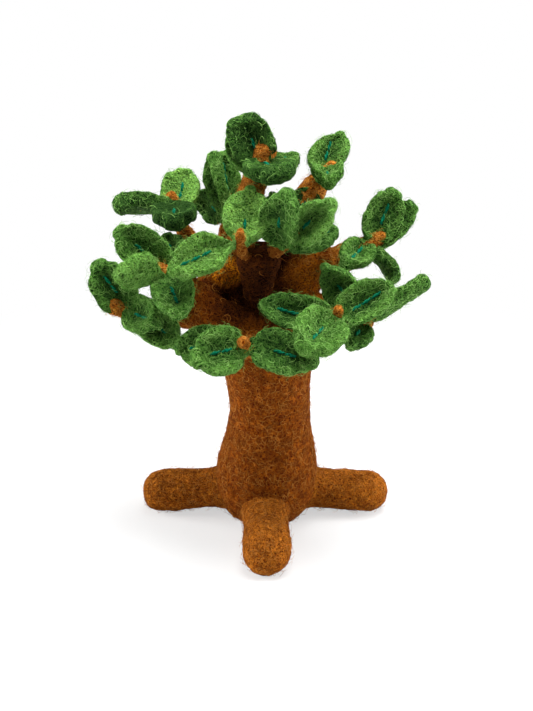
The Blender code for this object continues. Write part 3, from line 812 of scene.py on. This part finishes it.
def twig_mesh(name, twig):
    pivot, direction, bow, end, ball = twig_line(twig)
    swell, nub_swell, taper, shade, orange = filled(TWIG_LOOKS.get(twig, ()), USUAL_TWIG)
    nub = NUB_RADIUS * TWIGS[twig][5] * 0.86 * nub_swell
    path = [pivot - direction * (ball * back) for back in (1.5, 1.0, 0.5)]
    radii = [ball * swell * 0.95, ball * swell, ball * swell]
    along = [0.0, 0.0, 0.0]
    for share in np.linspace(0.0, 1.0, 24):
        path.append(along_twig(twig, share))
        radii.append((ball + (nub / swell - ball) * share**taper) * swell)
        along.append(share)
    add_dome(path, radii, end, (end - bow).normalized(), nub, (18, 36, 52, 66, 78, 86), reach=1.15)
    along += [1.0] * (len(path) - len(along))
    mesh = loft(name, tube_rings(path, radii, TWIG_AROUND))
    darks, lights = [], []
    for share in along:
        lapped = max(0.0, 1 - share / LAP)
        # The trunk's brown wool where it laps over, then a stalk darkened partly by brown wool and partly
        # by painted shade
        darks += [max(shade * max(0.0, 1 - share / 0.85) ** 0.5, 0.75 * lapped)] * TWIG_AROUND
        lights += [orange * (1 - lapped)] * TWIG_AROUND
    paint(mesh, dark=darks, lit=lights)
    return mesh


# %% Branch skins
def bend_span(twig):
    """Two points on a branch's line, half a ball behind its pivot and a little over a ball ahead."""
    pivot, direction, _, _, ball = twig_line(twig)
    return pivot - direction * ball * 0.5, pivot + direction * ball * 1.1


for seed, twig in enumerate(TWIGS):
    mesh = twig_mesh("branch_skin_" + twig, twig)
    add_lumps(mesh, TWIG_LUMPS, seed=31 + seed)
    skin = add_piece("branch_skin_" + twig, mesh, TWIG_FELT)
    bend_span(twig)
    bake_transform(skin)
    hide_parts("branch_" + twig)
print("branch skins:", len(TWIGS))

# %% [markdown]
# ## Leaves
# A leaf is a pad some four and a half millimetres thick, cut with scissors, so its rim is blunt
# and nearly square. The needle then pinched it along the middle, which leaves a dished face with
# a crease and sinks the stitches. Its cross-section is a squared oval whose upper side is pressed
# in: wide in the middle of the leaf, narrow where it grips the branch, and closed by a short
# round end.


# %% Shape of one leaf
def leaf_width_share(share, base, tip, plump):
    """Half-width along the leaf, 1 at its widest."""
    ends = base + (tip - base) * share
    blunt = 0.95 if tip < 0.2 else 0.62
    width = ends + (1 - ends) * (1 - abs(2 * share**0.88 - 1) ** plump) ** blunt
    stalk = min(1.0, share / 0.45)
    return width * (0.34 + 0.66 * stalk * stalk * (3 - 2 * stalk)) if base < 0.2 else width


def bent(along, across, high, curl, length):
    """The point after the leaf is bent evenly by the curl angle."""
    if not curl:
        return Vector((along, across, high))
    radius = length / math.radians(curl)
    angle = math.radians(curl) * along / length
    return Vector(((radius - high) * math.sin(angle), across, radius - (radius - high) * math.cos(angle)))


# %% Rings of one leaf
LEAF_STATIONS = 26
LEAF_AROUND = 48
LEAF_CAP_ANGLES = (84, 68, 50, 32, 14)
USUAL_LEAF = (0.15, 1.0, 1.0, 1.0, 0.0)
CREASE_WIDTH = 1.0 * MM
FOLD_SOFTNESS = 0.9 * MM
# Shares of half the thickness: the dish and the crease above, the dish below
DISH, CREASE, UNDER_DISH = 0.62, 0.5, 0.25
# Where the rim gets its painted highlight, how pale it is there, and the painted shade of sides and
# underside
RIM_AT, RIM_LIGHT, UNDER_SHADE = 0.74, 0.38, 0.35


def leaf_rings(leaf, number):
    """Rings of a leaf along its own X, Y across and Z up from its stitched face, with painted shade and
    light.
    """
    length_share, width_share, fold, curl, outline, look = leaf[6:]
    neck, tip, plump = outline or (0.42, 0.26 + 0.05 * (number % 4), 2.2 + 0.2 * (number % 3))
    shade, wider, thicker, longer, sweep = filled(look, USUAL_LEAF)
    seed = number * 1.7
    # A leaf's shade is its least darkness, partly darker wool and partly painted shade; below 0 it gives
    # painted light
    least = max(0.0, shade)
    length = LEAF_LENGTH * length_share * longer
    half = LEAF_WIDTH * width_share * 0.475 * wider
    thick = LEAF_THICKNESS * 0.58 * thicker
    edge_on = abs(leaf[5]) > 52
    slope = math.sin(math.radians(fold if edge_on else fold + 8))
    droop = 0.0 if edge_on else 1.4 * MM * math.sin(seed * 2.4)
    cap = thick * 0.9
    turns = [math.tau * (k + 0.5) / LEAF_AROUND for k in range(LEAF_AROUND)]
    stations = [(0.0, degrees) for degrees in LEAF_CAP_ANGLES]
    stations += [(share, 0) for share in np.linspace(0.0, 1.0, LEAF_STATIONS)]
    stations += [(1.0, degrees) for degrees in reversed(LEAF_CAP_ANGLES)]
    rings, darks, lights = [], [], []
    for share, degrees in stations:
        shrink = math.cos(math.radians(degrees))
        reach = cap * math.sin(math.radians(degrees)) * (1 if share > 0.5 else -1)
        along = cap + share * (length - 2 * cap) + reach
        wide = half * leaf_width_share(share, neck, tip, plump)
        wide = max(wide - cap * (1 - shrink), wide * shrink)
        inner = math.sin(math.pi * share) ** 0.6 * shrink
        ring = []
        for turn in turns:
            c, s = math.cos(turn), math.sin(turn)
            across = math.copysign(abs(c) ** 0.6, c) * wide
            high = math.copysign(abs(s) ** 0.5, s) * thick * shrink
            beside = abs(across) / max(wide, 1e-6)
            crease = math.exp(-((across / CREASE_WIDTH) ** 2)) * inner
            if s > 0:
                high -= thick * (DISH * (1 - beside**2.2) * inner + CREASE * crease)
                # Painted shade in the dish and the crease, and a painted highlight on the rim
                hollow = max(0.9 * crease, 0.65 * (1 - beside**2) * inner)
                rim = max(0.0, 1 - abs(beside - RIM_AT) / 0.26) * inner
            else:
                high += thick * UNDER_DISH * (1 - beside**2) * inner
                # Painted shade on the sides and underside
                hollow = UNDER_SHADE
                rim = 0.0
            soft = math.sqrt(across**2 + FOLD_SOFTNESS**2) - FOLD_SOFTNESS
            wave = noise.noise(Vector((share * 2.4, seed, across / (9 * MM))))
            high += soft * slope + wave * 1.1 * MM * beside + droop * share**2
            aside = across * math.sqrt(1 - slope**2) + sweep * half * share**2
            ring.append(bent(along, aside, high, curl, length))
            # A lighter leaf gets less painted shade, and painted light over its whole skin
            hollow = min(1.0, hollow) * (0.6 if shade < 0 else 1.0)
            darks.append(least + (1 - least) * hollow * (1 - 0.6 * rim))
            lights.append(max(0.0, -shade) + RIM_LIGHT * rim * (1 - least))
        rings.append(ring)
    return rings, darks, lights


# %% Leaf skins
LEAF_LUMPS = ((6 * MM, 0.5 * MM), (2.2 * MM, 0.3 * MM))
for seed, (twig, leaf) in enumerate((t, leaf) for t in LEAVES for leaf in LEAVES[t]):
    name = twig + "_" + leaf[0]
    rings, darks, lights = leaf_rings(leaf, seed)
    mesh = loft("leaf_skin_" + name, rings)
    paint(mesh, dark=darks, lit=lights)
    mesh.transform(leaf_place(twig, leaf))
    add_lumps(mesh, LEAF_LUMPS, seed=61 + seed)
    skin = add_piece("leaf_skin_" + name, mesh, LEAF_FELT)
    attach(skin, twig)
    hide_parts("leaf_" + name)
print("leaf skins:", sum(len(whorl) for whorl in LEAVES.values()))

# %% [markdown]
# ## Stitches
# The vein of each leaf is a running stitch in stranded thread, blue-green against the yellow-green
# wool. It dips into the felt between stitches. A single dashed line of colour would lie flat, so
# each stitch is two thin strands twisted round each other, laid on the crease by a ray from above
# and pushed into the wool at both ends.


# %% Thread material
def thread_material(name, dark, bright):
    material, shader, place = new_material(name, 0.55, 0.0, bright)
    ply = cloud(place, 0.35 * MM, detail=1.0)
    connect(shader, "Base Color", mix_colour(ramp_up(ply, 0.3, 0.7), dark, bright))
    connect(shader, "Roughness", 0.45 + ply * 0.3)
    bumped = place.node("Bump", {"Strength": 0.5, "Distance": 0.0001, "Height": ply})
    connect(shader, "Normal", bumped)
    return material


THREAD = thread_material("blue_green_thread", (0.001, 0.06, 0.028), (0.002, 0.205, 0.1))
STITCH_LENGTH = 3.6 * MM
STITCH_PITCH = 3.9 * MM
STITCH_POINTS = 9
STRAND_RADIUS = 0.33 * MM
STRAND_LIFT = 0.22 * MM
STITCH_DIP = 0.55 * MM
# Leaves whose vein has sunk into the wool but for its first stitch
FEW_STITCHES = {
    "inner_left_right",
    "inner_right_up",
    "inner_right_right",
    "high_left_front",
    "mid_left_left",
    "top_mid_left",
    "top_mid_front",
    "back_left_up",
    "back_left_left",
}


# %% The surface that stitches and fibres lie on
def surface_of(piece):
    mesh = piece.data
    points = [piece.matrix_world @ v.co for v in mesh.vertices]
    return BVHTree.FromPolygons(points, [tuple(p.vertices) for p in mesh.polygons])


# %% Stitches of one leaf
def stitch_forms(twig, leaf, seed):
    """Twisted strands along the vein, as rough tubes."""
    tree = surface_of(PIECES["leaf_skin_" + twig + "_" + leaf[0]])
    place = leaf_place(twig, leaf)
    length = LEAF_LENGTH * leaf[6]
    face = (place.to_3x3() @ Vector((0.0, 0.0, 1.0))).normalized()
    forms = []
    start = length * (0.33 + 0.06 * math.sin(seed * 2.1))
    last = length * (0.82 if twig + "_" + leaf[0] not in FEW_STITCHES else 0.58)
    while start + STITCH_LENGTH < last:
        spine = []
        for step in range(STITCH_POINTS):
            ends = abs(2 * step / (STITCH_POINTS - 1) - 1)
            along = start + STITCH_LENGTH * step / (STITCH_POINTS - 1)
            sway = 0.3 * MM * math.sin(along / (4.5 * MM) + seed)
            above = place @ bent(along, sway, 6 * MM, leaf[9], length)
            hit = tree.ray_cast(above, -face)[0]
            if hit is None:
                break
            spine.append(hit + face * (STRAND_LIFT - STITCH_DIP * ends**3))
        if len(spine) == STITCH_POINTS:
            forms += twisted(spine, face)
        start += STITCH_PITCH
    return forms


def twisted(spine, face):
    """Two strands that wind round each other along a spine."""
    strands = []
    last = len(spine) - 1
    for ply in range(2):
        path = []
        for step, place in enumerate(spine):
            ahead = (spine[min(step + 1, last)] - spine[max(step - 1, 0)]).normalized()
            side = ahead.cross(face).normalized()
            turn = math.pi * ply + step * 0.75
            path.append(place + (side * math.cos(turn) + face * math.sin(turn)) * STRAND_RADIUS * 0.85)
        strands.append(loft("strand", tube_rings(path, [STRAND_RADIUS] * len(spine), 7)))
    return strands


# %% Stitches of every leaf
seed = 0
for twig in LEAVES:
    forms = []
    for leaf in LEAVES[twig]:
        seed += 1
        forms += stitch_forms(twig, leaf, seed)
    stitches = add_piece("stitches_" + twig, join_meshes("stitches_" + twig, forms), THREAD)
    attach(stitches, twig)
    print("stitches on", twig, len(forms) // 2)

# %% [markdown]
# ## Loose fibres
# What tells felt from clay is its outline: hundreds of fine hairs that lie on the surface or stand
# off it. Blender's hair would show them, but it isn't a mesh and wouldn't leave this file. So each
# fibre is a thin three-sided tube of seven points. Most hug the skin in a curl and dive back into
# it, and some stand off. The fibres of one root, one branch or one whorl are one piece, and those
# of the trunk are two, which keeps each piece light. A branch's fibres, like its skin, ride on no
# body, and all others ride on one body.


# %% Random places on skins
# How bare of fibres the wool is where it is painted darkest, mostly with painted shade
BARE = 0.97


def skin_samples(piece, per_square_mm, rng):
    """Places spread over a piece's surface, fewer where it is painted dark, mostly with painted shade."""
    mesh = piece.data
    mesh.calc_loop_triangles()
    points = np.array([piece.matrix_world @ v.co for v in mesh.vertices])
    corners = np.array([tuple(t.vertices) for t in mesh.loop_triangles])
    a, b, c = points[corners[:, 0]], points[corners[:, 1]], points[corners[:, 2]]
    areas = np.linalg.norm(np.cross(b - a, c - a), axis=1) / 2
    if "dark" in mesh.attributes:
        dark = np.array([point.value for point in mesh.attributes["dark"].data])
        areas *= (1 - BARE * dark[corners[:, 0]]) ** 1.2
    count = int(areas.sum() / MM**2 * per_square_mm)
    chosen = rng.choice(len(areas), count, p=areas / areas.sum())
    u, v = rng.random((2, count))
    flip = u + v > 1
    u[flip], v[flip] = 1 - u[flip], 1 - v[flip]
    return a[chosen] + (b - a)[chosen] * u[:, None] + (c - a)[chosen] * v[:, None]


# %% Paths of fibres
# Heights of a fibre's points over the skin
LYING = np.array([-0.1, 0.1, 0.17, 0.2, 0.17, 0.1, -0.1]) * MM
STANDING = np.array([-0.15, 0.2, 0.45, 0.7, 0.9, 1.1, 1.3]) * MM
STRAY = np.array([-0.1, 0.5, 0.95, 1.2, 0.9, 0.6, 0.8]) * MM
# Least and greatest turn at each point, in radians, and the lowest point above the ground
CURL = (0.2, 0.8)
OVER_GROUND = 0.1 * MM


def fibre_paths(piece, per_square_mm, rise, length, rng):
    """Curled paths from places on the piece, at the given heights over it and above the ground."""
    tree = surface_of(piece)
    paths = []
    for start in skin_samples(piece, per_square_mm, rng):
        place, normal, _, _ = tree.find_nearest(Vector(start))
        ahead = normal.orthogonal().normalized()
        ahead.rotate(Matrix.Rotation(rng.random() * math.tau, 3, normal))
        curl = rng.choice((-1, 1)) * rng.uniform(*CURL)
        step = length * (0.6 + 0.8 * rng.random()) / (len(rise) - 1)
        reach = 0.5 + rng.random()
        path = []
        for height in rise:
            path.append(place + normal * (height * reach))
            path[-1].z = max(path[-1].z, OVER_GROUND)
            ahead.rotate(Matrix.Rotation(curl + rng.normal(0.0, 0.2), 3, normal))
            place, normal, _, _ = tree.find_nearest(place + ahead * step)
            ahead = (ahead - normal * ahead.dot(normal)).normalized()
        paths.append(path)
    return paths


# %% One mesh of many fibres
def fibre_mesh(name, paths, radii, tones):
    """Three-sided tubes along all the paths, thin at both ends, each with a tone of its own."""
    paths = np.array(paths, float)
    count, stations = paths.shape[:2]
    ahead = np.gradient(paths, axis=1)
    ahead /= np.linalg.norm(ahead, axis=2, keepdims=True) + 1e-12
    aside = np.cross(ahead, np.array([0.31, 0.52, 0.79]))
    aside /= np.linalg.norm(aside, axis=2, keepdims=True) + 1e-12
    other = np.cross(ahead, aside)
    taper = (1 - np.linspace(-0.85, 0.85, stations) ** 4)[None, :, None, None]
    taper = taper * np.array(radii)[:, None, None, None]
    turns = np.array([0.0, math.tau / 3, 2 * math.tau / 3])
    spread = aside[:, :, None] * np.cos(turns)[:, None] + other[:, :, None] * np.sin(turns)[:, None]
    points = (paths[:, :, None] + spread * taper).reshape(-1, 3)
    quads = []
    for step in range(stations - 1):
        for k in range(3):
            a, b = step * 3 + k, step * 3 + (k + 1) % 3
            quads.append((a, b, b + 3, a + 3))
    quads = np.array(quads)[None] + (np.arange(count) * stations * 3)[:, None, None]
    mesh = bpy.data.meshes.new(name)
    mesh.from_pydata(points.tolist(), [], quads.reshape(-1, 4).tolist())
    layer = mesh.attributes.new("tone", "FLOAT", "POINT")
    layer.data.foreach_set("value", np.repeat(np.array(tones), stations * 3))
    mesh.update()
    return mesh


# %% Fibre material
def fibre_material(name, dark, middle, pale, middle_at=0.55):
    """Hairs of several tones from dark to pale, one to a hair."""
    material, shader, place = new_material(name, 0.8, 0.1, pale)
    tone = place.node("Attribute", {}, "Fac", attribute_name="tone")
    streak = cloud(place, 1.5 * MM)
    stops = ((0.0, dark), (middle_at, middle), (1.0, pale))
    colour = tone.node("ValToRGB", {0: tone * 0.8 + streak * 0.2}, stops=stops)
    connect(shader, "Base Color", colour)
    connect(shader, "Roughness", 0.7 + tone * 0.25)
    return material


BROWN_FIBRE = fibre_material("brown_fibre", (0.09, 0.02, 0.001), (0.3, 0.082, 0.007), (0.68, 0.29, 0.06))
ORANGE_FIBRE = fibre_material("orange_fibre", (0.18, 0.045, 0.004), (0.44, 0.15, 0.018), (0.8, 0.38, 0.08))
GREEN_FIBRE = fibre_material(
    "green_fibre", (0.03, 0.1, 0.01), (0.09, 0.26, 0.035), (0.35, 0.62, 0.165), middle_at=0.45
)


# %% Fibres of some pieces
# Kinds of fibre: heights over the skin, length, radius, and the darkest tone it has
FIBRE_KINDS = (
    (LYING, 4.6 * MM, 0.07 * MM, 0.0),
    (STANDING, 3.6 * MM, 0.042 * MM, 0.5),
    (STRAY, 9 * MM, 0.04 * MM, 0.6),
)


def add_fibres(name, pieces, material, per_square_mm, seed, heights=(-1.0, 1.0)):
    """Lying, standing and stray fibres on some pieces, as one mesh, kept between two heights."""
    rng = np.random.default_rng(seed)
    paths, radii, tones = [], [], []
    for piece in pieces:
        for amount, (rise, length, radius, darkest) in zip(per_square_mm, FIBRE_KINDS):
            more = fibre_paths(piece, amount, rise, length, rng)
            more = [path for path in more if heights[0] <= path[0].z < heights[1]]
            paths += more
            radii += [radius * (0.7 + 0.6 * rng.random()) for _ in more]
            tones += [darkest + (1 - darkest) * rng.random() for _ in more]
    print(name, len(paths), "fibres")
    return add_piece(name, fibre_mesh(name, paths, radii, tones), material)


# %% Fibres of each body
# Lying, standing and stray fibres on a square millimetre
ON_TRUNK = (0.6, 0.12, 0.008)
ON_ROOTS = (0.65, 0.12, 0.0)
ON_LEAVES = (0.9, 0.22, 0.01)
ON_BRANCHES = (0.8, 0.2, 0.0)
SPLIT = FORK_HEIGHT * 0.8
for name, heights in (("fibres_trunk", (-1.0, SPLIT)), ("fibres_crown", (SPLIT, 1.0))):
    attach(add_fibres(name, [trunk], BROWN_FIBRE, ON_TRUNK, 5, heights), BASE)
for seed, side in enumerate(ROOTS):
    root = [PIECES["root_skin_" + side]]
    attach(add_fibres("fibres_root_" + side, root, BROWN_FIBRE, ON_ROOTS, 21 + seed), BASE)
for seed, twig in enumerate(TWIGS):
    leaves = [PIECES["leaf_skin_" + twig + "_" + leaf[0]] for leaf in LEAVES[twig]]
    wool = add_fibres("fibres_leaves_" + twig, leaves, GREEN_FIBRE, ON_LEAVES, 71 + seed)
    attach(wool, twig)
    skin = [PIECES["branch_skin_" + twig]]
    wool = add_fibres("fibres_branch_" + twig, skin, ORANGE_FIBRE, ON_BRANCHES, 171 + seed)
    bend_span(twig)
    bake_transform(wool)

# %% [markdown]
# ## Wire
# The wire in the trunk is the one solid that keeps its own shape. Nothing of it shows from
# outside, but a part that is opened up should still have it, so it gets the look of soft annealed
# wire: grey, a little uneven, drawn along its length.

# %% Wire material
wire_metal, wire_shader, wire_place = new_material("annealed_wire", 0.4, 0.0, (1.0, 1.0, 1.0))
wire_shader.inputs["Metallic"].default_value = 1.0
streaks = cloud(wire_place, 0.8 * MM)
connect(wire_shader, "Base Color", mix_colour(streaks, (0.3, 0.29, 0.28), (0.52, 0.51, 0.5)))
connect(wire_shader, "Roughness", 0.3 + streaks * 0.25)
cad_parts["core_wire"].data.materials.clear()
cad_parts["core_wire"].data.materials.append(wire_metal)
print("wire:", wire_metal.name)

# %% [markdown]
# ## Table, light and camera
# The tree stands on a white sweep under broad soft light, with only faint shadows under its
# roots. The white comes from what the camera sees of the floor and the world, not from stronger
# lamps, so the wool keeps its own colours.


# %% Floor
def floor_material():
    """Paper that catches shadows near the tree and is plain white to the camera further out."""
    material = bpy.data.materials.new("white_sweep")
    material.use_nodes = True
    tree = material.node_tree
    tree.nodes.clear()
    rays = Wire(tree, tree.nodes.new("ShaderNodeLightPath").outputs["Is Camera Ray"])
    place = Wire(tree, tree.nodes.new("ShaderNodeTexCoord").outputs["Object"])
    away = place.node("VectorMath", {0: place}, "Value", operation="LENGTH")
    paper = rays.node("BsdfDiffuse", {"Color": (0.9, 0.9, 0.9, 1.0)})
    glow = rays.node("Emission", {"Color": (1.0, 1.0, 1.0, 1.0), "Strength": 1.0})
    white = rays * (0.58 + ramp_up(away, 0.06, 0.22) * 0.42)
    mixed = rays.node("MixShader", {0: white, 1: paper, 2: glow})
    output = tree.nodes.new("ShaderNodeOutputMaterial")
    tree.links.new(mixed.socket, output.inputs["Surface"])
    return material


FLOOR_HALF = 3.0
FLOOR_DROP = 0.05 * MM
floor_mesh = bpy.data.meshes.new("floor")
corners = [(x * FLOOR_HALF, y * FLOOR_HALF, 0) for x, y in ((-1, -1), (1, -1), (1, 1), (-1, 1))]
floor_mesh.from_pydata(corners, [], [(0, 1, 2, 3)])
floor_mesh.materials.append(floor_material())
floor = placed("floor", floor_mesh)
floor.location.z = -FLOOR_DROP


# %% World and lamps
def make_world(strength):
    world = bpy.data.worlds.new("studio")
    bpy.context.scene.world = world
    world.use_nodes = True
    tree = world.node_tree
    tree.nodes.clear()
    path = tree.nodes.new("ShaderNodeLightPath")
    seen = Wire(tree, path.outputs["Is Camera Ray"])
    for ray in ("Is Glossy Ray", "Is Transmission Ray"):
        seen = greater(seen, Wire(tree, path.outputs[ray]))
    fill = seen.node("Background", {"Color": (1.0, 0.99, 0.97, 1.0), "Strength": strength})
    white = seen.node("Background", {"Color": (1.0, 1.0, 1.0, 1.0), "Strength": 1.0})
    mixed = seen.node("MixShader", {0: seen, 1: fill, 2: white})
    output = tree.nodes.new("ShaderNodeOutputWorld")
    tree.links.new(mixed.socket, output.inputs["Surface"])


def add_lamp(name, place, aim, size, watts):
    data = bpy.data.lights.new(name, "AREA")
    data.shape = "DISK"
    data.size = size
    data.energy = watts
    lamp = placed(name, data)
    lamp.location = place
    lamp.rotation_euler = (Vector(aim) - Vector(place)).to_track_quat("-Z", "Y").to_euler()


make_world(0.16)
add_lamp("top_softbox", (0.1, 0.03, 0.85), (0.0, 0.0, 0.05), 0.5, 11.5)
add_lamp("front_softbox", (-0.3, -0.65, 0.6), (0.0, 0.0, 0.08), 0.5, 0.5)
add_lamp("left_softbox", (-0.7, 0.05, 0.28), (0.0, 0.0, 0.07), 0.4, 6.5)
add_lamp("right_softbox", (0.7, 0.05, 0.28), (0.0, 0.0, 0.07), 0.4, 5.2)

# %% Camera
PITCH = math.radians(27.14)
AIM = Vector((0.00055, 0.0, 0.06526))
DISTANCE = 0.42
camera_data = bpy.data.cameras.new("camera")
camera_data.lens = 59.07
camera_data.sensor_width = 36.0
camera = placed("camera", camera_data)
camera.location = AIM + Vector((0.0, -math.cos(PITCH), math.sin(PITCH))) * DISTANCE
camera.rotation_euler = (math.radians(90) - PITCH, 0.0, 0.0)
bpy.context.scene.camera = camera
bpy.context.scene.view_settings.view_transform = "Standard"
print("camera:", [round(x, 3) for x in camera.location])
